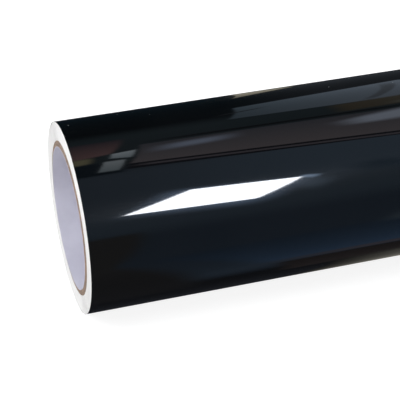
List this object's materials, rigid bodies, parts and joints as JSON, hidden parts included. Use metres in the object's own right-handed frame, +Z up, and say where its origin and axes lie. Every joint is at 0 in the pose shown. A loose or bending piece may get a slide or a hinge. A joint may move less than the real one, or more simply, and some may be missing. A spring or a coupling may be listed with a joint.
{
  "type": "roll of sign vinyl",
  "caption": "Roll of glossy black self-adhesive vinyl with a white release liner, wound film side out on an open paperboard core.",
  "frame": {"origin": "centre of the core bore, halfway along the roll", "axes": "+X along the core, +Z up, the tail on the +Y side"},
  "size_m": [0.61, 0.103, 0.1028],
  "materials": {
    "core_lining": "matt white lining paper, spiral seam",
    "core_board": "matt brown kraft board",
    "start_tape": "matt double-sided paper tape",
    "web": "wound laps, white liner edges with fine black film lines",
    "liner": "coated white release paper, satin",
    "film": "high-gloss black film",
    "end_tape": "cream paper masking tape"
  },
  "bodies": {
    "roll": {"core_lining": "core_lining", "core_ply_1": "core_board", "core_ply_2": "core_board", "core_ply_3": "core_board", "core_ply_4": "core_board", "core_ply_5": "core_board", "core_ply_6": "core_board", "start_tape": "start_tape", "wound_web": "web", "outer_lap_liner": "liner", "outer_lap_film": "film"},
    "tail_root": {"tail_liner_root": "liner", "tail_film_root": "film"},
    "tail_middle": {"tail_liner_middle": "liner", "tail_film_middle": "film"},
    "tail_end": {"tail_liner_end": "liner", "tail_film_end": "film"},
    "film_corner": {"film_edge": "film", "end_tape_left": "end_tape", "end_tape_middle": "end_tape", "end_tape_right": "end_tape"}
  },
  "joints": [
    {"name": "tail_lift", "type": "hinge", "parent": "roll", "child": "tail_root", "pos_m": [0, 0.02809, 0.04325], "axis": [1, 0, 0], "range_deg": [0, 30]},
    {"name": "tail_bend", "type": "hinge", "parent": "tail_root", "child": "tail_middle", "pos_m": [0, 0.04119, 0.03104], "axis": [1, 0, 0], "range_deg": [0, 30]},
    {"name": "tail_curl", "type": "hinge", "parent": "tail_middle", "child": "tail_end", "pos_m": [0, 0.04932, 0.01508], "axis": [1, 0, 0], "range_deg": [0, 30]},
    {"name": "film_peel", "type": "hinge", "parent": "tail_end", "child": "film_corner", "pos_m": [0, 0.05098, 0.00808], "axis": [1, 0, 0], "range_deg": [0, 80]}
  ]
}
